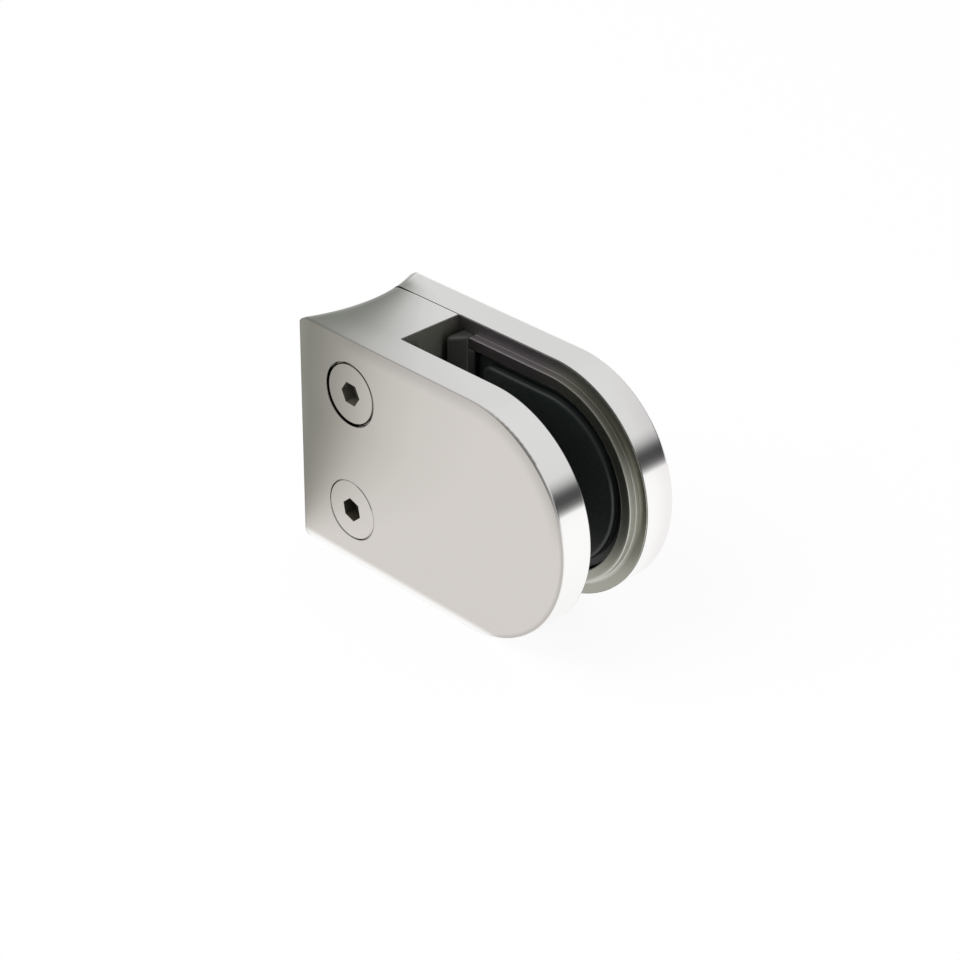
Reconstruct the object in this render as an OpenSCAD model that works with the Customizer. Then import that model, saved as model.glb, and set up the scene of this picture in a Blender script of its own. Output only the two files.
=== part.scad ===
// Glass panel clamp: a jaw and block in one casting, a loose cover jaw, two countersunk
// screws that draw the cover on, and a rubber gasket in each jaw.
// +X runs from the post along the glass, +Y across the glass from the screw side to the cover,
// +Z up. The origin is where the axis of the bolt into the post meets the saddle.

/* [Clamp] */
// Length from the tips of the saddle to the rounded end
clamp_l = 65; // [60:0.5:80]
// Height, and diameter of the rounded end
clamp_h = 45; // [42:0.5:56]
// Thickness of each jaw
jaw_t = 6.6; // [6.6:0.1:9]
// Width of the slot between the jaws
slot_w = 13.8; // [12.6:0.1:18]
// Radius of the edges round the outer faces
edge_r = 0.5; // [0.3:0.1:2]
// Radius of the edges along the slot and the seam
fine_r = 0.15; // [0.05:0.05:0.4]

/* [Block and saddle] */
// Outside radius of the post
post_r = 30.15; // [24:0.05:60]
// Thickness of the block on the bolt axis, from the saddle to the slot
block_t = 16.6; // [15.6:0.2:20]
// Radius of the saddle's top and bottom edges
saddle_edge_r = 2.5; // [0.3:0.1:3]
// Radius of the saddle's two tips
tip_r = 0.7; // [0.3:0.1:1.5]
// Radius of the tips' upper and lower corners, seen from the side
tip_corner_r = 2.6; // [0.5:0.1:3]
// Radius of the saddle's corners at the seam
seam_corner_r = 1.2; // [0.2:0.1:1.5]
// Opening of the seam at the saddle
seam_gap = 0.6; // [0.1:0.05:0.8]
// Length over which the seam closes
seam_gap_l = 7; // [3:0.5:10]

/* [Bolt into the post] */
// Diameter of the bolt
post_bolt_d = 8; // [6:1:8]
// Added to the bolt's diameter for its hole
post_bolt_play = 1; // [0.4:0.1:1]
// Diameter of the bolt's 90 degree countersunk head
post_head_d = 16; // [12:0.5:16.5]

/* [Clamping screws] */
// Diameter of the screws
screw_d = 6; // [5:0.5:6]
// Diameter of their 90 degree countersunk heads
head_d = 11.5; // [10:0.1:12]
// Height of the straight rim of the heads
head_rim = 0.4; // [0.3:0.05:0.6]
// Width across the flats of their sockets
socket_w = 4; // [3:0.5:4]
// Depth of their sockets
socket_h = 2.5; // [2:0.1:2.8]
// Distance of the screws from the bottom of the saddle
screw_x = 10.5; // [9.5:0.25:11]
// Distance of the screws from the top and bottom faces
screw_inset = 10.8; // [10:0.1:11.5]
// Reach of the screws into the cover
thread_reach = 4.8; // [4:0.1:5]
// Depth of the upper head below the face
upper_sink = 0.2; // [0.05:0.05:0.3]
// Depth of the lower head below the face
lower_sink = 0.05; // [0.05:0.05:0.3]
// Gap round the upper head
upper_ring = 0.35; // [0.08:0.01:0.5]
// Gap round the lower head
lower_ring = 0.1; // [0.08:0.01:0.5]
// Angle of a corner of the upper socket
upper_turn = -3.5; // [-30:0.5:30]
// Angle of a corner of the lower socket
lower_turn = -19; // [-30:0.5:30]

/* [Gasket seats] */
// Width of the plain border outside the ledge
border_w = 2.5; // [2:0.1:4]
// Thickness of the ledge
ledge_t = 2.15; // [1.2:0.05:3]
// Height of the ledge above the jaw's inner face
ledge_h = 1.5; // [0.8:0.1:2]
// Distance of the ledge's ends from the slot's end wall
ledge_start = 4.1; // [3.9:0.1:6]
// Depth of the seat inside the ledge
seat_h = 1; // [0.5:0.1:1.5]

/* [Gaskets] */
// Width of the groove between the ledge and the pad
groove_w = 1.55; // [0.8:0.05:3]
// Height of the pad above the jaw's inner face
pad_h = 1.8; // [1:0.1:2.2]
// Radius of the pad's upper edge
pad_edge_r = 0.7; // [0.2:0.1:0.9]
// Radius of the pad's rear corners
pad_corner_r = 2; // [1:0.1:4]
// Distance of the pad from the slot's end wall
pad_start = 7.6; // [7:0.1:12]
// Distance of the rear lip from the slot's end wall
lip_start = 1; // [0.6:0.1:1.4]
// Height of the rear lip above the jaw's inner face
lip_h = 4.2; // [3:0.1:4.6]
// Radius of the lip's rear corner
lip_nose_r = 0.6; // [0.2:0.1:0.9]
// Width of the lip's flat top
lip_land = 0.3; // [0.1:0.1:0.6]
// Bevel between the lip's top and its front
lip_bevel = 1.5; // [0.5:0.1:2]
// Length of the lip's low foot behind the pad
foot_l = 1.3; // [0.5:0.1:2]
// Gap between a gasket and its seat
gasket_gap = 0.1; // [0.05:0.05:0.2]

/* [Hidden] */
$fn = 96;

// Small overlap of joined shapes, and overrun of cutting shapes past a face
eps = 0.01;
over = 1;
// Play of the screws in the block and in the cover's threads, and behind their heads
hole_play = 0.6;
thread_play = 0.1;
seat_play = 0.07;
// Play round the head of the bolt into the post
post_head_play = 0.5;
// Depth of the straight mouth of a countersink, and room past a screw's tip
mouth_h = 1.2;
tip_room = 0.4;

steel = [0.78, 0.77, 0.75];
screw_steel = [0.7, 0.69, 0.66];
rubber = [0.05, 0.055, 0.055];

half_h = clamp_h / 2;
face_y = slot_w / 2 + jaw_t;
seam_y = slot_w / 2;
tip_x = sqrt(post_r * post_r - face_y * face_y) - post_r;
back_x = sqrt(pow(post_r + tip_r, 2) - pow(face_y - tip_r, 2)) - post_r - tip_r;
end_x = back_x + clamp_l - half_h;
screw_z = half_h - screw_inset;
screw_l = seam_y + face_y + thread_reach - upper_sink;
ledge_r = half_h - border_w;
seat_r = ledge_r - ledge_t;
pad_r = seat_r - groove_w;
lip_back = block_t + lip_start;
lip_front = block_t + ledge_start - gasket_gap;

// Half of a flat section from the middle out to a radius, between depths y0 and y1, with its
// outer corners rounded by r0 and r1
module half_section(radius, y0, y1, r0, r1) {
    translate([0, y0]) square([radius - r0, r0]);
    translate([0, y1 - r1]) square([radius - r1, r1]);
    translate([0, y0 + r0]) square([radius, y1 - y0 - r0 - r1]);
    translate([radius - r0, y0 + r0]) circle(r0);
    translate([radius - r1, y1 - r1]) circle(r1);
}

// Carries a half section along the top and bottom edges from start_x and round the end
module round_end_sweep(start_x) {
    for (side = [0, 1])
        mirror([0, 0, side]) translate([end_x, 0, 0]) rotate([0, -90, 0])
            linear_extrude(end_x - start_x) children();
    translate([end_x, 0, 0]) rotate([-90, 0, 0]) rotate([0, 0, -90])
        rotate_extrude(angle = 180) children();
}

// Rounds the upright corner where the saddle meets a face at depth y; side is +1 where the
// solid lies beyond that depth and -1 where it lies before it
module saddle_corner_cut(y, side, r) {
    post_axis = [-post_r, 0];
    corner = [sqrt(post_r * post_r - y * y) - post_r, y];
    centre = [sqrt(pow(post_r + r, 2) - pow(y + side * r, 2)) - post_r, y + side * r];
    on_saddle = post_axis + (centre - post_axis) * post_r / (post_r + r);
    outside = y - side * over / 2;
    linear_extrude(clamp_h + 2 * over, center = true) difference() {
        polygon([[corner.x - over, outside], [centre.x, outside], [centre.x, y], centre, on_saddle]);
        translate(centre) circle(r);
    }
}

// Everything that the post takes away: its own round and the rounding of the top and bottom edges
module saddle_cut() {
    translate([-post_r, 0, 0]) {
        cylinder(r = post_r, h = clamp_h + 2 * over, center = true, $fn = 360);
        for (side = [0, 1])
            mirror([0, 0, side]) rotate_extrude($fn = 360) difference() {
                translate([post_r - over, half_h - saddle_edge_r])
                    square([saddle_edge_r + over, saddle_edge_r + over]);
                translate([post_r + saddle_edge_r, half_h - saddle_edge_r])
                    circle(saddle_edge_r);
            }
    }
}

// Rounds the upper and lower corners of the tips, seen from the side
module tip_corner_cut() {
    for (side = [0, 1])
        mirror([0, 0, side]) translate([back_x, 0, half_h]) rotate([90, 0, 0])
            linear_extrude(2 * (face_y + over), center = true) difference() {
                translate([-over, -tip_corner_r]) square(tip_corner_r + over);
                translate([tip_corner_r, -tip_corner_r]) circle(tip_corner_r);
            }
}

// A screw hole through the block, with its countersink in the outer face
module block_screw_hole(sink, ring) {
    head_r = head_d / 2 + seat_play;
    hole_r = (screw_d + hole_play) / 2;
    translate([screw_x, -face_y, 0]) rotate([-90, 0, 0]) {
        translate([0, 0, -over]) cylinder(r = head_d / 2 + ring, h = over + mouth_h + sink);
        translate([0, 0, sink + head_rim]) cylinder(r1 = head_r, r2 = hole_r, h = head_r - hole_r);
        cylinder(r = hole_r, h = 2 * face_y);
    }
}

// The hole for the bolt into the post, countersunk from the slot
module post_bolt_hole() {
    hole_r = (post_bolt_d + post_bolt_play) / 2;
    sink_r = (post_head_d + post_head_play) / 2;
    rotate([0, 90, 0]) {
        translate([0, 0, -post_r]) cylinder(r = hole_r, h = post_r + block_t + over);
        translate([0, 0, block_t - sink_r + hole_r])
            cylinder(r1 = hole_r, r2 = sink_r, h = sink_r - hole_r);
        translate([0, 0, block_t - eps]) cylinder(r = sink_r, h = over);
    }
}

// The ledge round a gasket, on the far jaw
module ledge() {
    round_end_sweep(block_t + ledge_start) intersection() {
        half_section(ledge_r, seam_y - ledge_h, seam_y + seat_h + fine_r, fine_r, fine_r);
        difference() {
            translate([seat_r, seam_y - ledge_h]) square([ledge_t, ledge_h + seat_h]);
            translate([seat_r, seam_y - ledge_h]) difference() {
                square(fine_r);
                translate([fine_r, fine_r]) circle(fine_r);
            }
        }
    }
}

// The seat inside the ledge and the wider seat of the lip, cut into the far jaw
module gasket_seat() {
    back = lip_back - gasket_gap;
    round_end_sweep(back) translate([0, seam_y - eps]) square([seat_r, seat_h + eps]);
    translate([back, seam_y - eps, -ledge_r])
        cube([block_t + ledge_start - back, seat_h + eps, 2 * ledge_r]);
}

// The far jaw from start_x to the rounded end, with its ledge and seat
module far_jaw(start_x) {
    difference() {
        round_end_sweep(start_x) half_section(half_h, seam_y, face_y, fine_r, edge_r);
        gasket_seat();
    }
    ledge();
}

// The block's section across the clamp, from the outer face to the seam
module block_section() {
    translate([-face_y, 0]) for (side = [0, 1])
        mirror([0, side]) rotate(90) mirror([0, 1])
            half_section(half_h, 0, face_y + seam_y, edge_r, fine_r);
}

module clamp_body() {
    color(steel) difference() {
        union() {
            mirror([0, 1, 0]) far_jaw(block_t - over);
            translate([tip_x - over, 0, 0]) rotate([90, 0, 90])
                linear_extrude(block_t - tip_x + over) block_section();
        }
        saddle_cut();
        tip_corner_cut();
        saddle_corner_cut(-face_y, 1, tip_r);
        saddle_corner_cut(seam_y, -1, seam_corner_r);
        linear_extrude(clamp_h + 2 * over, center = true)
            polygon([[tip_x, seam_y - seam_gap], [-over, seam_y - seam_gap],
                     [seam_gap_l, seam_y], [tip_x, seam_y + over]]);
        translate([0, 0, screw_z]) block_screw_hole(upper_sink, upper_ring);
        translate([0, 0, -screw_z]) block_screw_hole(lower_sink, lower_ring);
        post_bolt_hole();
    }
}

module cover_plate() {
    color(steel) difference() {
        far_jaw(tip_x - over);
        saddle_cut();
        tip_corner_cut();
        saddle_corner_cut(face_y, -1, tip_r);
        for (side = [-1, 1])
            translate([screw_x, seam_y - over, side * screw_z]) rotate([-90, 0, 0])
                cylinder(r = (screw_d + thread_play) / 2, h = over + thread_reach + tip_room);
    }
}

// A countersunk screw, its head's top at the origin and its shank along +Y
module clamping_screw(turn) {
    head_r = head_d / 2;
    shank_r = screw_d / 2;
    bevel = 0.2;
    neck = head_rim + head_r - shank_r;
    socket_r = socket_w / sqrt(3);
    drill_r = socket_w / 2;
    drill_h = 0.8;
    color(screw_steel) rotate([-90, 0, 0]) difference() {
        rotate_extrude() polygon([[0, 0], [head_r - bevel, 0], [head_r, bevel], [head_r, head_rim],
                                  [shank_r, neck], [shank_r, screw_l - 2 * bevel],
                                  [shank_r - 2 * bevel, screw_l], [0, screw_l]]);
        rotate(-turn) translate([0, 0, -over]) cylinder(r = socket_r, h = over + socket_h, $fn = 6);
        translate([0, 0, socket_h - eps]) cylinder(r1 = drill_r, r2 = drill_r / 10, h = drill_h);
    }
}

module upper_screw() {
    translate([screw_x, upper_sink - face_y, screw_z]) clamping_screw(upper_turn);
}

module lower_screw() {
    translate([screw_x, lower_sink - face_y, -screw_z]) clamping_screw(lower_turn);
}

// The raised pad, rounded at all its upper edges
module pad() {
    back = block_t + pad_start;
    top = seam_y - pad_h;
    base = seam_y + eps;
    turn_x = back + pad_corner_r;
    straight = pad_r - pad_corner_r;
    round_end_sweep(turn_x) half_section(pad_r, top, base, pad_edge_r, eps);
    for (side = [0, 1])
        mirror([0, 0, side]) translate([turn_x, 0, straight]) rotate([-90, 0, 0])
            rotate([0, 0, 180]) rotate_extrude(angle = 90)
                half_section(pad_corner_r, top, base, pad_edge_r, eps);
    translate([turn_x, 0, 0]) linear_extrude(2 * straight, center = true) mirror([1, 0])
        half_section(pad_corner_r, top, base, pad_edge_r, eps);
}

// The lip's outline seen from above, in distances from its back and from the jaw's inner face
module lip_section() {
    shoulder = lip_h - lip_nose_r;
    land_end = lip_nose_r + lip_land;
    polygon([[0, -seat_h], [0, shoulder], [lip_nose_r, shoulder], [lip_nose_r, lip_h],
             [land_end, lip_h], [land_end + lip_bevel, lip_h - lip_bevel],
             [lip_front - lip_back, ledge_h], [lip_front - lip_back, -seat_h]]);
    translate([lip_nose_r, shoulder]) circle(lip_nose_r);
}

module far_gasket() {
    sheet_r = seat_r - gasket_gap;
    wide = 2 * (ledge_r - gasket_gap);
    color(rubber) {
        round_end_sweep(lip_front - eps)
            translate([0, seam_y]) square([sheet_r, seat_h]);
        pad();
        translate([lip_back, seam_y, 0]) linear_extrude(wide, center = true) mirror([0, 1])
            lip_section();
        translate([lip_front - eps, seam_y - ledge_h, -sheet_r])
            cube([foot_l, ledge_h + eps, 2 * sheet_r]);
    }
}

module near_gasket() {
    mirror([0, 1, 0]) far_gasket();
}

clamp_body();
cover_plate();
upper_screw();
lower_screw();
near_gasket();
far_gasket();
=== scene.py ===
import math

import bmesh
import bpy
from mathutils import Matrix, Vector


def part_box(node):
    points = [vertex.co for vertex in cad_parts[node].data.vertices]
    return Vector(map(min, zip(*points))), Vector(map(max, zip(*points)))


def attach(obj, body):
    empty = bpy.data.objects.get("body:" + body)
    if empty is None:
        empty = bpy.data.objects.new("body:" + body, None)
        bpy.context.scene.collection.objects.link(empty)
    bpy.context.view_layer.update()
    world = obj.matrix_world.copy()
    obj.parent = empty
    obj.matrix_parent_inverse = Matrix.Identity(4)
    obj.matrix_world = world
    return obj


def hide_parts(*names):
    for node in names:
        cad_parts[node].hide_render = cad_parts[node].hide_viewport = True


MM = 0.001

# Camera, as seen from the clamp: where it looks, from which side, how far off and how long its lens is
VIEW_TARGET = Vector((29.31, 0.0, -2.91)) * MM
VIEW_AZIMUTH = math.radians(44.91)
VIEW_ELEVATION = math.radians(30.51)
VIEW_ROLL = math.radians(0.87)
VIEW_DISTANCE = 414.8 * MM
LENS = 88.75
SENSOR = 36.0
CLIP_START = 10 * MM

# Studio: brightness of the surroundings by the height of the direction, from the horizon upwards,
# on the post's side and on the glass's side, where a dark screen stands low down
POST_SIDE = [(0.0, 1.0), (0.3, 0.9), (0.44, 0.685), (1.0, 0.71)]
GLASS_SIDE = [(0.02, 1.0), (0.06, 0.45), (0.11, 0.15), (0.17, 0.07), (0.24, 0.07),
              (0.29, 0.15), (0.34, 0.36), (0.39, 0.55), (0.45, 0.70), (1.0, 0.74)]
# Brightness of the glass's side where it lies behind the camera
CAMERA_SIDE = 0.24
# Directions, from -1 to 1, between which one side of the studio passes into the next
POST_TO_GLASS_X = (-0.5, -0.15)
CAMERA_TO_GLASS_Y = (-0.3, 0.15)
FLOOR_COLOUR = (0.93, 0.93, 0.93, 1.0)
FLOOR_ROUGHNESS = 0.9
FLOOR_SIZE = 6.0
FLOOR_GLOW = 0.93
KEY_PLACE = (-0.35, -0.7, 0.9)
KEY_SIZE = 1.2
KEY_POWER = 14.0

# The clamp's places in millimetres, which the finishes and the painted shade follow
FACE_Y = 13.5
SEAM_Y = 6.9
END_X = 39.7
SCREW_X = 10.5
SCREW_Z = 11.7
THREAD_PITCH = 1.0
UPPER_HEAD_Y = -13.3
LOWER_HEAD_Y = -13.45

# The gaskets' places
SEAT_H = 1.0
SHEET_REAR_X = 20.0
SHEET_R = 17.75
SHEET_CORNER_R = 0.3
SHEET_EDGE_R = 0.15
SUNK_Y = SEAM_Y + 0.2
LEDGE_Y = 5.4
PAD_X = 24.2
PAD_R = 16.3
PAD_CORNER_R = 2.0
PAD_TOP_Y = 5.1
PAD_EDGE_R = 0.7
FLAT_INSET = 0.25
FOOT_X = 21.9
FOOT_CORNER_R = 0.4
FOOT_EDGE_R = 0.3
LIP_X = 17.6
LIP_FRONT_X = 20.6
LIP_TOP_Y = 2.7
LIP_HALF_H = 19.9
LIP_NOSE_R = 0.75
LIP_LAND = 1.0
LIP_LAND_R = 0.5
LIP_FRONT_R = 1.0
LIP_REAR_R = 0.5
LIP_END_R = 0.45
LEAST_CORNER_STEPS = 5
CORNER_STEPS_PER_MM = 2.5
SAME_POINT = 1e-4

# Colours
SATIN = (0.665, 0.631, 0.597)
POLISHED = (0.965, 0.96, 0.95)
MILLED = (0.40, 0.40, 0.352)
MILLED_HIGH_SHADE = (0.37, 0.345, 0.355)
LEDGE_RIM_HIGHLIGHT = (0.60, 0.60, 0.55)
BORDER_REFLECTION = (0.64, 0.63, 0.54)
CREVICE_SHADE = (0.015, 0.014, 0.012)
FINE_GAP = (0.62, 0.60, 0.55)
RING_SHADE = (0.13, 0.118, 0.10)
SOCKET_SHADE = (0.125, 0.115, 0.095)
LOWER_SOCKET_SHADE = (0.06, 0.055, 0.036)
FAR_END_SHADE_TINT = (0.4, 0.25, 0.3)
BLACK = (0.0, 0.0, 0.0)
RUBBER = (0.014, 0.018, 0.0175)
RUBBER_PATCHES = (0.021, 0.025, 0.024)
RUBBER_LIP_LIGHT = (0.042, 0.043, 0.038)

# How much of the painted shade, darker or tinted, the steel takes in each place
EDGE_SHADE_SHARE = 0.2
REAR_EDGE_SHADE_SHARE = 0.6
FAR_END_SHADE_SHARE = 0.13
INNER_EDGE_SHADE_SHARE = 0.8

# Painted shade, a painted dark reflection on the outer steel that deepens towards the post: place across
# the deepening and share of the brightness
PAINTED_SHADE_STOPS = [(-0.6, (0.395, 0.41, 0.375)), (-0.47, (0.345, 0.355, 0.325)), (-0.35, (0.375, 0.385, 0.355)),
        (-0.2, (0.45, 0.455, 0.43)), (0.0, (0.59, 0.59, 0.57)), (0.2, (0.735, 0.735, 0.72)),
        (0.4, (0.83, 0.83, 0.82)), (0.75, (0.94, 0.94, 0.935)), (1.4, (1.0, 1.0, 1.0))]
# How much more deeply the polished rim takes the painted shade
RIM_TONE_POWER = 1.22
# Its middle and its width by the height: constant, slope and curve
TONE_MIDDLE = (8.0, 0.42, -0.0075)
TONE_WIDTH = (19.0, 0.45, -0.012)
# How far it moves towards the post: over the thickness, at the cover's outer edge and high on the face
TONE_LEAN = 0.5
TONE_COVER_SHIFT = 5.0
TONE_FACE_SHIFT = 2.0
# What it keeps of its width for each millimetre from the face
TONE_NARROWING = 0.937

# Millimetres between which each finish, painted shade and painted highlight comes in; where the second
# is the smaller, it comes in downwards
UPPER_Z = (-0.1, 0.1)
FOOT_Z = (-20.4, -21.8)
TONE_COVER_Y = (8.0, 13.0)
TONE_FACE_Y = (-6.0, -13.0)
TONE_FACE_Z = (3.0, 13.0)
EDGE_SHADE_HIGH_Z = (0.0, 12.0)
EDGE_SHADE_HIGH_R = (19.0, 22.3)
EDGE_SHADE_HIGH_X = (5.0, 14.0)
EDGE_SHADE_LOW_R = (21.5, 22.2)
EDGE_SHADE_LOW_X = (42.0, 50.0)
FAR_END_Y = (8.5, 12.5)
FAR_END_X = (46.0, 58.0)
SLOT_X = (16.4, 16.5)
BLOCK_X = (16.5, 16.4)
INSIDE_Y = (SEAM_Y + 0.15, SEAM_Y + 0.05)
HIGH_Z = (6.0, 19.0)
HIGH_SHADE_X = (46.0, 34.0)
LEDGE_RIM_INNER_R = (19.3, 19.8)
LEDGE_RIM_OUTER_R = (20.8, 20.3)
LEDGE_RIM_Z = (14.0, 6.0)
BORDER_R = (20.7, 20.9)
BORDER_HIGH_Z = (19.0, 12.0)
BORDER_LOW_Z = (-7.0, -1.0)
INNER_EDGE_NEAR_Y = (SEAM_Y + 0.02, SEAM_Y + 0.06)
INNER_EDGE_FAR_Y = (SEAM_Y + 0.22, SEAM_Y + 0.16)
INNER_EDGE_R = (21.9, 22.0)
INNER_EDGE_X = (16.6, 17.0)
HEAD_HOLE_R = (6.17, 6.13)
HEAD_HOLE_Y = (FACE_Y - 0.02, FACE_Y - 0.08)
SEAM_OFFSET = (0.14, 0.08)
JOINT_Y = (FACE_Y - 0.5, FACE_Y - 1)
JOINT_RIM_R = (20.6, 21.6)
JOINT_REAR_X = (2.2, 1.2)
HEAD_RING_R = (5.5, 5.56)
SOCKET_R = (2.47, 2.43)
SOCKET_DEPTH = (0.02, 0.1)
THREAD_DEPTH = (5.0, 5.2)
LIP_LIGHT_X = (FOOT_X + 0.5, LIP_FRONT_X)

# The same for how squarely a surface faces an axis, from -1 to 1
SIDE_FACING = (0.55, 0.8)
SIDE_EDGE_FACING = (0.1, 0.3)
SIDE_WHOLE_FACING = (0.995, 0.95)
END_WALL_FACING = (0.8, 0.9)
JOINT_FACING = (0.85, 0.95)
REAR_EDGE_FACING = (-0.04, -0.3)
REAR_FACING = (-0.89, -0.8)

# Roughness
RIM_ROUGHNESS = 0.10
FACE_ROUGHNESS = 0.26
EDGE_ROUGHNESS = 0.32
INSIDE_ROUGHNESS = 0.33
INSIDE_HIGH_ROUGHNESS = 0.46
END_WALL_ROUGHNESS = 0.55
CREVICE_ROUGHNESS = 0.7
HEAD_ROUGHNESS = 0.24
SOCKET_ROUGHNESS = 0.5
RUBBER_ROUGHNESS = 0.22

# How far the grain and the other fine patterns change the roughness
GRAIN_SWING = 0.03
INSIDE_GRAIN_SWING = 0.08
PATCH_SWING = 0.04
HEAD_RING_SWING = 0.1
RUBBER_SWING = 0.16

# The grain's waves in a millimetre along and across its lines, and its scale and detail in patches
FACE_GRAIN = (0.35, 14.0)
RIM_GRAIN = (0.2, 12.0)
MILLED_GRAIN = (0.1, 9.0)
HEAD_GRAIN = 9.0
STEEL_PATCHES = (0.12, 1.0)
RUBBER_FINE = (4.0, 3.0)
RUBBER_BROAD = (0.3, 1.0)

# Depths of the bumps in millimetres, and how much of them each pattern takes
STEEL_BUMP = 0.0003
INSIDE_BUMP_SHARE = 5.0
SCREW_BUMP = 0.3
HEAD_RING_BUMP_SHARE = 0.01
THREAD_BUMP_SHARE = 0.5
RUBBER_BUMP = 0.01

EASED_EDGE_R = 0.3
EASED_SAMPLES = 8
SOCKET_METALLIC = 0.25


class Shade:
    """A material in the making, with short calls for the nodes that it needs."""

    def __init__(self, name):
        self.mat = bpy.data.materials.new(name)
        self.mat.use_nodes = True
        self.nodes = self.mat.node_tree.nodes
        self.links = self.mat.node_tree.links
        self.shader = self.nodes["Principled BSDF"]
        coords = self.nodes.new("ShaderNodeTexCoord")
        scaled = self.nodes.new("ShaderNodeVectorMath")
        scaled.operation = "SCALE"
        scaled.inputs["Scale"].default_value = 1 / MM
        self.links.new(coords.outputs["Object"], scaled.inputs[0])
        self.x, self.y, self.z = self.split(scaled.outputs[0])

    def put(self, socket, value):
        if isinstance(value, bpy.types.NodeSocket):
            self.links.new(value, socket)
        else:
            socket.default_value = value

    def split(self, vector):
        node = self.nodes.new("ShaderNodeSeparateXYZ")
        self.links.new(vector, node.inputs[0])
        return node.outputs

    def join(self, x, y, z):
        node = self.nodes.new("ShaderNodeCombineXYZ")
        for socket, value in zip(node.inputs, (x, y, z)):
            self.put(socket, value)
        return node.outputs[0]

    def math(self, operation, *values):
        node = self.nodes.new("ShaderNodeMath")
        node.operation = operation
        for socket, value in zip(node.inputs, values):
            self.put(socket, value)
        return node.outputs[0]

    def add(self, a, b):
        return self.math("ADD", a, b)

    def minus(self, a, b):
        return self.math("SUBTRACT", a, b)

    def larger(self, a, b):
        return self.math("MAXIMUM", a, b)

    def size(self, value):
        return self.math("ABSOLUTE", value)

    def times(self, first, *others):
        product = first
        for other in others:
            product = self.math("MULTIPLY", product, other)
        return product

    def swing(self, pattern, reach):
        """A pattern from 0 to 1, moved to lie round 0 and scaled by its reach."""
        return self.times(self.add(pattern, -0.5), reach)

    def length(self, a, b):
        return self.math("SQRT", self.add(self.times(a, a), self.times(b, b)))

    def step(self, value, low, high):
        """0 below low, 1 above high, and smooth between them; falls instead where low is the larger."""
        node = self.nodes.new("ShaderNodeMapRange")
        node.interpolation_type = "SMOOTHSTEP"
        self.put(node.inputs["Value"], value)
        start, end = (low, high) if low < high else (high, low)
        node.inputs["From Min"].default_value = start
        node.inputs["From Max"].default_value = end
        node.inputs["To Min"].default_value = 0.0 if low < high else 1.0
        node.inputs["To Max"].default_value = 1.0 if low < high else 0.0
        return node.outputs["Result"]

    def ramp(self, value, stops):
        """A colour by a value: stops are pairs of the value and its colour."""
        first, last = stops[0][0], stops[-1][0]
        spread = self.nodes.new("ShaderNodeMapRange")
        self.put(spread.inputs["Value"], value)
        spread.inputs["From Min"].default_value = first
        spread.inputs["From Max"].default_value = last
        node = self.nodes.new("ShaderNodeValToRGB")
        self.links.new(spread.outputs["Result"], node.inputs["Fac"])
        marks = node.color_ramp.elements
        for index, (at, colour) in enumerate(stops):
            mark = marks[index] if index < 2 else marks.new(1.0)
            mark.position = (at - first) / (last - first)
            mark.color = (*colour, 1.0)
        return node.outputs["Color"]

    def mix(self, share, a, b, blend="MIX"):
        node = self.nodes.new("ShaderNodeMix")
        node.data_type = "RGBA"
        node.blend_type = blend
        colours = [socket for socket in node.inputs if socket.type == "RGBA"]
        self.put(node.inputs[0], share)
        for socket, value in zip(colours, (a, b)):
            self.put(socket, value if isinstance(value, bpy.types.NodeSocket) else (*value, 1.0))
        return [socket for socket in node.outputs if socket.type == "RGBA"][0]

    def blend(self, share, a, b):
        """One number turning into another as the share goes from 0 to 1."""
        node = self.nodes.new("ShaderNodeMix")
        for index, value in ((0, share), (2, a), (3, b)):
            self.put(node.inputs[index], value)
        return node.outputs[0]

    def power(self, colour, exponent):
        node = self.nodes.new("ShaderNodeGamma")
        self.links.new(colour, node.inputs["Color"])
        self.put(node.inputs["Gamma"], exponent)
        return node.outputs["Color"]

    def noise(self, vector, scale=1.0, detail=2.0):
        node = self.nodes.new("ShaderNodeTexNoise")
        node.inputs["Scale"].default_value = scale
        node.inputs["Detail"].default_value = detail
        self.links.new(vector, node.inputs["Vector"])
        return node.outputs[0]

    def bump(self, height, depth, normal=None):
        node = self.nodes.new("ShaderNodeBump")
        if normal:
            self.links.new(normal, node.inputs["Normal"])
        node.inputs["Strength"].default_value = 1.0
        node.inputs["Distance"].default_value = depth * MM
        self.links.new(height, node.inputs["Height"])
        self.links.new(node.outputs[0], self.shader.inputs["Normal"])


class SteelShade(Shade):
    """The shade of the block and the cover, with where a surface lies on them and which way it faces."""

    def __init__(self, name):
        super().__init__(name)
        self.normal, facing = self.eased_normal()
        self.facing_x, facing_y, _ = self.split(facing)
        self.sideways = self.size(facing_y)
        self.depth = self.size(self.y)
        self.contour = self.length(self.larger(self.add(self.x, -END_X), 0.0), self.z)
        self.upper = self.step(self.z, *UPPER_Z)
        self.high = self.step(self.z, *HIGH_Z)
        self.block = self.step(self.x, *BLOCK_X)
        self.inside = self.times(self.step(self.depth, *INSIDE_Y), self.step(self.x, *SLOT_X))
        self.end_wall = self.step(self.size(self.facing_x), *END_WALL_FACING)
        side = self.step(self.sideways, *SIDE_FACING)
        self.flat = self.larger(self.minus(side, self.step(self.z, *FOOT_Z)), 0.0)

    def eased_normal(self):
        """The surface's normal, turning softly over its edges, in world and in object axes."""
        bevel = self.nodes.new("ShaderNodeBevel")
        bevel.samples = EASED_SAMPLES
        bevel.inputs["Radius"].default_value = EASED_EDGE_R * MM
        turned = self.nodes.new("ShaderNodeVectorTransform")
        turned.vector_type = "NORMAL"
        turned.convert_from = "WORLD"
        turned.convert_to = "OBJECT"
        self.links.new(bevel.outputs[0], turned.inputs[0])
        return bevel.outputs[0], turned.outputs[0]


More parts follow.
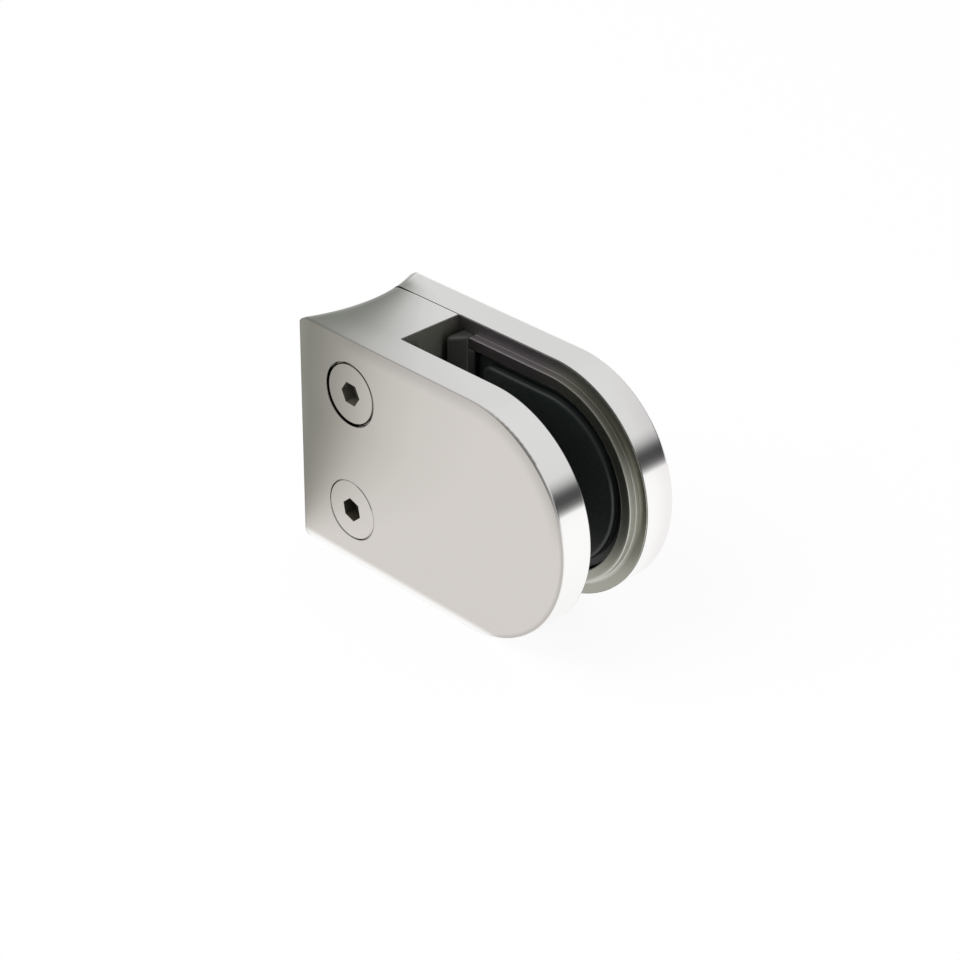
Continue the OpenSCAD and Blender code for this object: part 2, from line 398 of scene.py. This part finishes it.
def camera_axes():
    """The camera's right, up and backward directions."""
    back = Vector((math.sin(VIEW_AZIMUTH) * math.cos(VIEW_ELEVATION),
                   -math.cos(VIEW_AZIMUTH) * math.cos(VIEW_ELEVATION),
                   math.sin(VIEW_ELEVATION)))
    level = Vector((math.cos(VIEW_AZIMUTH), math.sin(VIEW_AZIMUTH), 0.0))
    upright = back.cross(level)
    right = level * math.cos(VIEW_ROLL) + upright * math.sin(VIEW_ROLL)
    up = upright * math.cos(VIEW_ROLL) - level * math.sin(VIEW_ROLL)
    return right, up, back


def add_camera():
    right, up, back = camera_axes()
    data = bpy.data.cameras.new("camera")
    data.lens = LENS
    data.sensor_width = SENSOR
    data.clip_start = CLIP_START
    camera = bpy.data.objects.new("camera", data)
    turn = Matrix((right, up, back)).transposed().to_4x4()
    camera.matrix_world = Matrix.Translation(VIEW_TARGET + back * VIEW_DISTANCE) @ turn
    bpy.context.scene.collection.objects.link(camera)
    bpy.context.scene.camera = camera


def seen_directly(shade):
    """1 for what the camera sees straight, in a reflection or through glass, and 0 for what lights."""
    path = shade.nodes.new("ShaderNodeLightPath")
    straight_or_reflected = shade.larger(path.outputs["Is Camera Ray"], path.outputs["Is Glossy Ray"])
    return shade.larger(straight_or_reflected, path.outputs["Is Transmission Ray"])


def make_floor_material():
    """Pale and matt; seen directly it is mostly plain white, and the rest of it takes the shadow."""
    shade = Shade("pale_floor")
    shade.shader.inputs["Base Color"].default_value = FLOOR_COLOUR
    shade.shader.inputs["Roughness"].default_value = FLOOR_ROUGHNESS
    shade.shader.inputs["Specular IOR Level"].default_value = 0.0
    glow = shade.nodes.new("ShaderNodeEmission")
    glow.inputs["Strength"].default_value = 1.0
    mixed = shade.nodes.new("ShaderNodeMixShader")
    shade.links.new(shade.times(seen_directly(shade), FLOOR_GLOW), mixed.inputs[0])
    shade.links.new(shade.shader.outputs[0], mixed.inputs[1])
    shade.links.new(glow.outputs[0], mixed.inputs[2])
    shade.links.new(mixed.outputs[0], shade.nodes["Material Output"].inputs["Surface"])
    return shade.mat


def add_floor(level):
    mesh = bpy.data.meshes.new("floor")
    half = FLOOR_SIZE / 2
    corners = [(-half, -half, level), (half, -half, level), (half, half, level), (-half, half, level)]
    mesh.from_pydata(corners, [], [(0, 1, 2, 3)])
    floor = bpy.data.objects.new("floor", mesh)
    bpy.context.scene.collection.objects.link(floor)
    mesh.materials.append(make_floor_material())


def add_key_light():
    data = bpy.data.lights.new("key", "AREA")
    data.size = KEY_SIZE
    data.energy = KEY_POWER
    light = bpy.data.objects.new("key", data)
    light.location = KEY_PLACE
    light.rotation_euler = (-Vector(KEY_PLACE)).to_track_quat("-Z", "Y").to_euler()
    light.visible_glossy = False
    bpy.context.scene.collection.objects.link(light)


def height_ramp(nodes, links, height, levels):
    """A grey by the height of the direction."""
    ramp = nodes.new("ShaderNodeValToRGB")
    links.new(height, ramp.inputs["Fac"])
    marks = ramp.color_ramp.elements
    for index, (at, level) in enumerate(levels):
        mark = marks[index] if index < 2 else marks.new(1.0)
        mark.position = at
        mark.color = (level, level, level, 1.0)
    return ramp.outputs["Color"]


def soft_share(nodes, links, value, start, end):
    share = nodes.new("ShaderNodeMapRange")
    share.interpolation_type = "SMOOTHSTEP"
    share.inputs["From Min"].default_value = start
    share.inputs["From Max"].default_value = end
    links.new(value, share.inputs["Value"])
    return share.outputs["Result"]


def set_world():
    """A pale studio with a dark screen low down beyond the glass, dimmer behind the camera."""
    world = bpy.data.worlds.new("studio")
    bpy.context.scene.world = world
    world.use_nodes = True
    nodes, links = world.node_tree.nodes, world.node_tree.links
    coords = nodes.new("ShaderNodeTexCoord")
    split = nodes.new("ShaderNodeSeparateXYZ")
    links.new(coords.outputs["Generated"], split.inputs[0])
    x, y, z = split.outputs
    glass_side = nodes.new("ShaderNodeMixRGB")
    links.new(soft_share(nodes, links, y, *CAMERA_TO_GLASS_Y), glass_side.inputs["Fac"])
    glass_side.inputs["Color1"].default_value = (CAMERA_SIDE, CAMERA_SIDE, CAMERA_SIDE, 1.0)
    links.new(height_ramp(nodes, links, z, GLASS_SIDE), glass_side.inputs["Color2"])
    whole = nodes.new("ShaderNodeMixRGB")
    links.new(soft_share(nodes, links, x, *POST_TO_GLASS_X), whole.inputs["Fac"])
    links.new(height_ramp(nodes, links, z, POST_SIDE), whole.inputs["Color1"])
    links.new(glass_side.outputs["Color"], whole.inputs["Color2"])
    links.new(whole.outputs["Color"], nodes["Background"].inputs["Color"])
    nodes["Background"].inputs["Strength"].default_value = 1.0


def dress(node_name, mat):
    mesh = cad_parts[node_name].data
    mesh.materials.clear()
    mesh.materials.append(mat)


def parabola(shade, value, constant, slope, curve):
    return shade.add(constant, shade.times(value, shade.add(slope, shade.times(value, curve))))


def painted_shade_ramp(shade):
    """Painted shade, a painted dark reflection: darker towards the post, most of all high on the screw
    side.
    """
    from_face = shade.add(shade.y, FACE_Y)
    middle = parabola(shade, shade.z, *TONE_MIDDLE)
    middle = shade.minus(middle, shade.times(from_face, TONE_LEAN))
    middle = shade.minus(middle, shade.times(shade.step(shade.y, *TONE_COVER_Y), TONE_COVER_SHIFT))
    high_on_face = shade.times(shade.step(shade.z, *TONE_FACE_Z), shade.step(shade.y, *TONE_FACE_Y))
    middle = shade.minus(middle, shade.times(high_on_face, TONE_FACE_SHIFT))
    narrowing = shade.math("POWER", TONE_NARROWING, from_face)
    width = shade.times(parabola(shade, shade.z, *TONE_WIDTH), narrowing)
    return shade.ramp(shade.math("DIVIDE", shade.minus(shade.x, middle), width), PAINTED_SHADE_STOPS)


def screw_axis_distance(shade):
    return shade.length(shade.add(shade.x, -SCREW_X), shade.add(shade.size(shade.z), -SCREW_Z))


def painted_edge_shade_share(shade):
    """Painted shade along the edges of the flat sides, which are a little darker there."""
    low = shade.times(shade.step(shade.contour, *EDGE_SHADE_LOW_R), shade.step(shade.x, *EDGE_SHADE_LOW_X))
    high = shade.times(shade.step(shade.contour, *EDGE_SHADE_HIGH_R), shade.step(shade.x, *EDGE_SHADE_HIGH_X))
    edge_shade = shade.blend(shade.step(shade.z, *EDGE_SHADE_HIGH_Z), low, high)
    return shade.times(edge_shade, shade.flat)


def outer_colour(shade):
    """Satin on the flat sides and polished round the rim, with painted shade on the edges and on the far
    end of the rim, and a painted dark reflection towards the post.
    """
    colour = shade.mix(shade.flat, POLISHED, SATIN)
    # Painted shade, a little darker, along the edges of the flat sides
    colour = shade.mix(shade.times(painted_edge_shade_share(shade), EDGE_SHADE_SHARE), colour, BLACK)
    # Painted shade: the edges that turn towards the post are darker
    rear_edge_shade = shade.times(shade.step(shade.facing_x, *REAR_EDGE_FACING),
                            shade.step(shade.facing_x, *REAR_FACING))
    colour = shade.mix(shade.times(rear_edge_shade, REAR_EDGE_SHADE_SHARE), colour, BLACK)
    # Painted shade, tinted, on the far end of the rim on the cover's side
    far_end_shade = shade.times(shade.step(shade.y, *FAR_END_Y), shade.step(shade.x, *FAR_END_X),
                          shade.minus(1.0, shade.flat))
    colour = shade.mix(shade.times(far_end_shade, FAR_END_SHADE_SHARE), colour, FAR_END_SHADE_TINT)
    # The painted shade towards the post, deeper on the polished rim
    painted_shade_colour = shade.power(painted_shade_ramp(shade), shade.blend(shade.flat, RIM_TONE_POWER, 1.0))
    return shade.mix(1.0, colour, painted_shade_colour, "MULTIPLY")


def inner_colour(shade):
    """Milled insides, with painted shade high up, where they are darker and tinted, a painted highlight
    on the ledge's rim and a painted reflection, paler, on the border round it.
    """
    # Painted shade: darker and tinted high up and towards the rear, but not on the end wall
    high_shade = shade.minus(shade.times(shade.high, shade.step(shade.x, *HIGH_SHADE_X)), shade.end_wall)
    colour = shade.mix(high_shade, MILLED, MILLED_HIGH_SHADE)
    # Painted highlight, paler, along the ledge's rim lower down
    rim = shade.times(shade.step(shade.contour, *LEDGE_RIM_INNER_R),
                      shade.step(shade.contour, *LEDGE_RIM_OUTER_R))
    colour = shade.mix(shade.times(rim, shade.step(shade.z, *LEDGE_RIM_Z)), colour, LEDGE_RIM_HIGHLIGHT)
    # Painted reflection, paler, on the border round the ledge at middle heights
    border_height = shade.times(shade.step(shade.z, *BORDER_HIGH_Z), shade.step(shade.z, *BORDER_LOW_Z))
    border = shade.times(shade.step(shade.contour, *BORDER_R), border_height)
    return shade.mix(border, colour, BORDER_REFLECTION)


def inner_edge_shade_share(shade):
    """Painted shade: the dark line where a jaw's inside turns into its rim."""
    line = shade.times(shade.step(shade.depth, *INNER_EDGE_NEAR_Y),
                       shade.step(shade.depth, *INNER_EDGE_FAR_Y),
                       shade.step(shade.contour, *INNER_EDGE_R),
                       shade.step(shade.x, *INNER_EDGE_X))
    return shade.times(line, INNER_EDGE_SHADE_SHARE)


def joint_share(shade):
    """Where the block and the cover lie against each other."""
    reach = shade.times(shade.step(shade.depth, *JOINT_Y), shade.block)
    return shade.times(shade.step(shade.sideways, *JOINT_FACING), reach)


def crevice_shade_share(shade, joint):
    """Painted shade, dark, in the seam and along the joint's outer edges."""
    seam = shade.times(shade.step(shade.size(shade.add(shade.y, -SEAM_Y)), *SEAM_OFFSET), shade.block)
    joint_rim = shade.larger(shade.step(shade.contour, *JOINT_RIM_R), shade.step(shade.x, *JOINT_REAR_X))
    return shade.larger(seam, shade.times(joint, joint_rim))


def steel_grain(shade):
    """Fine lines along the sides, round the rim and round the jaws' insides."""
    along, across = FACE_GRAIN
    face = shade.noise(shade.join(shade.times(shade.x, along), 0.0, shade.times(shade.z, across)))
    along, across = RIM_GRAIN
    rim = shade.noise(shade.join(shade.times(shade.x, along), shade.times(shade.y, across),
                                 shade.times(shade.z, along)))
    along, across = MILLED_GRAIN
    milled = shade.noise(shade.join(shade.times(shade.contour, across), 0.0,
                                    shade.times(shade.x, along)))
    return shade.blend(shade.inside, shade.blend(shade.flat, rim, face), milled)


def steel_roughness(shade, grain, crevice_shade):
    edge = shade.times(shade.step(shade.sideways, *SIDE_EDGE_FACING),
                       shade.step(shade.sideways, *SIDE_WHOLE_FACING))
    outside = shade.blend(edge, shade.blend(shade.flat, RIM_ROUGHNESS, FACE_ROUGHNESS), EDGE_ROUGHNESS)
    milled = shade.blend(shade.high, INSIDE_ROUGHNESS, INSIDE_HIGH_ROUGHNESS)
    milled = shade.blend(shade.end_wall, milled, END_WALL_ROUGHNESS)
    rough = shade.blend(shade.inside, outside, milled)
    grain_swing = shade.blend(shade.inside, GRAIN_SWING, INSIDE_GRAIN_SWING)
    rough = shade.add(rough, shade.swing(grain, grain_swing))
    patches = shade.noise(shade.join(shade.x, shade.y, shade.z), *STEEL_PATCHES)
    rough = shade.add(rough, shade.swing(patches, PATCH_SWING))
    return shade.blend(crevice_shade, rough, CREVICE_ROUGHNESS)


def make_steel():
    shade = SteelShade("satin_steel")
    colour = shade.mix(shade.inside, outer_colour(shade), inner_colour(shade))
    # Painted shade: a dark line along the inner edge of the jaws' rims
    colour = shade.mix(inner_edge_shade_share(shade), colour, CREVICE_SHADE)
    # Painted shade in the ring round the upper head, on the hole's wall; the lower hole's wall takes a
    # pale colour
    head_hole = shade.times(shade.step(screw_axis_distance(shade), *HEAD_HOLE_R),
                            shade.step(shade.depth, *HEAD_HOLE_Y))
    colour = shade.mix(head_hole, colour, shade.mix(shade.upper, FINE_GAP, RING_SHADE))
    joint = joint_share(shade)
    colour = shade.mix(joint, colour, MILLED)
    # Painted shade in the seam and along the joint's outer edges
    crevice_shade = crevice_shade_share(shade, joint)
    colour = shade.mix(crevice_shade, colour, CREVICE_SHADE)
    grain = steel_grain(shade)
    shade.put(shade.shader.inputs["Roughness"], steel_roughness(shade, grain, crevice_shade))
    shade.put(shade.shader.inputs["Base Color"], colour)
    shade.shader.inputs["Metallic"].default_value = 1.0
    height = shade.times(grain, shade.blend(shade.inside, 1.0, INSIDE_BUMP_SHARE))
    shade.bump(height, STEEL_BUMP, shade.normal)
    return shade.mat


def screw_thread(shade, depth):
    """A wave that winds round the screw's shaft."""
    angle = shade.math("ARCTAN2", shade.add(shade.size(shade.z), -SCREW_Z), shade.add(shade.x, -SCREW_X))
    turn = shade.add(shade.times(shade.y, math.tau / THREAD_PITCH), angle)
    return shade.times(shade.step(depth, *THREAD_DEPTH), shade.math("SINE", turn))


def make_screw_steel():
    shade = Shade("screw_steel")
    upper = shade.step(shade.z, *UPPER_Z)
    radius = screw_axis_distance(shade)
    depth = shade.minus(shade.y, shade.blend(upper, LOWER_HEAD_Y, UPPER_HEAD_Y))
    socket = shade.times(shade.step(radius, *SOCKET_R), shade.step(depth, *SOCKET_DEPTH))
    # The screw heads take the same painted shade towards the post
    colour = shade.mix(1.0, SATIN, painted_shade_ramp(shade), "MULTIPLY")
    # Painted shade: a dark ring at the upper head's edge
    colour = shade.mix(shade.times(shade.step(radius, *HEAD_RING_R), upper), colour, RING_SHADE)
    # Painted shade in the hex sockets, deeper in the lower one
    colour = shade.mix(socket, colour, shade.mix(upper, LOWER_SOCKET_SHADE, SOCKET_SHADE))
    shade.put(shade.shader.inputs["Base Color"], colour)
    shade.put(shade.shader.inputs["Metallic"], shade.blend(socket, 1.0, SOCKET_METALLIC))
    rings = shade.noise(shade.join(shade.times(radius, HEAD_GRAIN), 0.0, 0.0))
    rough = shade.add(HEAD_ROUGHNESS, shade.swing(rings, HEAD_RING_SWING))
    shade.put(shade.shader.inputs["Roughness"], shade.blend(socket, rough, SOCKET_ROUGHNESS))
    thread = screw_thread(shade, depth)
    height = shade.add(shade.times(rings, HEAD_RING_BUMP_SHARE), shade.times(thread, THREAD_BUMP_SHARE))
    shade.bump(height, SCREW_BUMP)
    return shade.mat


def make_rubber():
    shade = Shade("black_rubber")
    point = shade.join(shade.x, shade.y, shade.z)
    fine = shade.noise(point, *RUBBER_FINE)
    colour = shade.mix(shade.noise(point, *RUBBER_BROAD), RUBBER, RUBBER_PATCHES)
    # Painted light: the rear lip is paler than the pad, as where more light falls on it
    colour = shade.mix(shade.step(shade.x, *LIP_LIGHT_X), colour, RUBBER_LIP_LIGHT)
    shade.put(shade.shader.inputs["Base Color"], colour)
    rough = shade.add(RUBBER_ROUGHNESS, shade.times(fine, RUBBER_SWING))
    shade.put(shade.shader.inputs["Roughness"], rough)
    shade.bump(fine, RUBBER_BUMP)
    return shade.mat


def rounded(corners, inset=0.0):
    """Points round a convex outline: each corner has its place and radius; all lie inset by a margin."""
    points = []
    for index, (x, y, radius) in enumerate(corners):
        corner = Vector((x, y))
        before = (Vector(corners[index - 1][:2]) - corner).normalized()
        after = (Vector(corners[(index + 1) % len(corners)][:2]) - corner).normalized()
        half_angle = before.angle(after) / 2
        centre = corner + (before + after).normalized() * radius / math.sin(half_angle)
        first = (before * radius / math.tan(half_angle) + corner - centre).normalized()
        last = (after * radius / math.tan(half_angle) + corner - centre).normalized()
        steps = max(LEAST_CORNER_STEPS, round(radius * CORNER_STEPS_PER_MM))
        for step in range(steps + 1):
            points.append(centre + first.slerp(last, step / steps) * (radius - inset))
    apart = [(point - points[index - 1]).length > SAME_POINT for index, point in enumerate(points)]
    return [point for point, kept in zip(points, apart) if kept]


def edge_rounding(radius, steps=5):
    """Pairs of inset and drop that round an edge, from the side up to the flat."""
    angles = [math.pi / 2 * step / steps for step in range(steps + 1)]
    return [(radius * (1 - math.cos(angle)), radius * (1 - math.sin(angle))) for angle in angles]


def loft(bm, rings):
    """A closed shell through rings of points, with flat ends."""
    layers = [[bm.verts.new([value * MM for value in point]) for point in ring] for ring in rings]
    count = len(layers[0])
    for lower, upper in zip(layers, layers[1:]):
        for index in range(count):
            following = (index + 1) % count
            bm.faces.new((lower[index], lower[following], upper[following], upper[index]))
    bm.faces.new(layers[0])
    bm.faces.new(layers[-1])


def layer(bm, side, outline, levels):
    """A flat piece on a jaw: its outline in x and z, and its levels as pairs of inset and distance."""
    loft(bm, [[(x, side * y, z) for x, z in rounded(outline, inset)] for inset, y in levels])


def jaw_plate(bm, side, start_x, radius, corner_r, base_y, top_y, edge_r):
    """A flat D-shaped layer on a jaw, which ends where the jaw does and has a rounded upper edge."""
    far = END_X + radius
    outline = [(start_x, -radius, corner_r), (far, -radius, radius),
               (far, radius, radius), (start_x, radius, corner_r)]
    levels = [(0.0, base_y)] + [(inset, top_y + drop) for inset, drop in edge_rounding(edge_r)]
    levels.append((edge_r + FLAT_INSET, top_y))
    layer(bm, side, outline, levels)


def foot_strip(bm, side):
    """The low foot in front of the rear lip."""
    outline = [(x, z, FOOT_CORNER_R) for x, z in ((SHEET_REAR_X, -SHEET_R), (FOOT_X, -SHEET_R),
                                                  (FOOT_X, SHEET_R), (SHEET_REAR_X, SHEET_R))]
    levels = [(0.0, SUNK_Y)] + [(inset, LEDGE_Y + drop) for inset, drop in edge_rounding(FOOT_EDGE_R)]
    layer(bm, side, outline, levels)


def rear_lip(bm, side):
    """The tall soft lip behind the glass's edge, with both its ends rounded."""
    seat_y = SEAM_Y + SEAT_H
    section = [(LIP_X, seat_y, LIP_REAR_R), (LIP_X, LIP_TOP_Y, LIP_NOSE_R),
               (LIP_X + LIP_LAND, LIP_TOP_Y, LIP_LAND_R), (LIP_FRONT_X, LEDGE_Y, LIP_FRONT_R),
               (LIP_FRONT_X, seat_y, LIP_REAR_R)]
    ends = [(inset, LIP_HALF_H - drop) for drop, inset in edge_rounding(LIP_END_R)]
    levels = [(inset, -z) for inset, z in ends] + [(inset, z) for inset, z in reversed(ends)]
    loft(bm, [[(x, side * y, z) for x, y in rounded(section, inset)] for inset, z in levels])


def make_gasket(name, side, body):
    """A soft gasket in its seat: the sheet, the raised pad, the low foot and the rear lip."""
    bm = bmesh.new()
    jaw_plate(bm, side, SHEET_REAR_X, SHEET_R, SHEET_CORNER_R, SEAM_Y + SEAT_H, SEAM_Y, SHEET_EDGE_R)
    jaw_plate(bm, side, PAD_X, PAD_R, PAD_CORNER_R, SUNK_Y, PAD_TOP_Y, PAD_EDGE_R)
    foot_strip(bm, side)
    rear_lip(bm, side)
    bmesh.ops.recalc_face_normals(bm, faces=bm.faces)
    mesh = bpy.data.meshes.new(name + "_rubber")
    bm.to_mesh(mesh)
    bm.free()
    mesh.shade_smooth()
    piece = bpy.data.objects.new(name + "_rubber", mesh)
    bpy.context.scene.collection.objects.link(piece)
    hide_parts(name)
    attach(piece, body)
    return piece


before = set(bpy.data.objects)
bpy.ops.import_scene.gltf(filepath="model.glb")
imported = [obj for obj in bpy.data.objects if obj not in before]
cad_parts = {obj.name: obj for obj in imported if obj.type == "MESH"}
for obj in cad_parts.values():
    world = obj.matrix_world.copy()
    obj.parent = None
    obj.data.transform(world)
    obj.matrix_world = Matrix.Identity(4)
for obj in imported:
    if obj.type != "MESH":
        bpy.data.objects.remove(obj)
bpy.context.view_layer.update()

screw_steel = make_screw_steel()
rubber = make_rubber()
steel = make_steel()
for name in ("clamp_body", "cover_plate"):
    dress(name, steel)
for name in ("upper_screw", "lower_screw"):
    dress(name, screw_steel)
make_gasket("near_gasket", -1, "body").data.materials.append(rubber)
make_gasket("far_gasket", 1, "cover").data.materials.append(rubber)

add_camera()
add_floor(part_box("clamp_body")[0][2])
set_world()
add_key_light()

bpy.context.scene.view_settings.view_transform = "Standard"
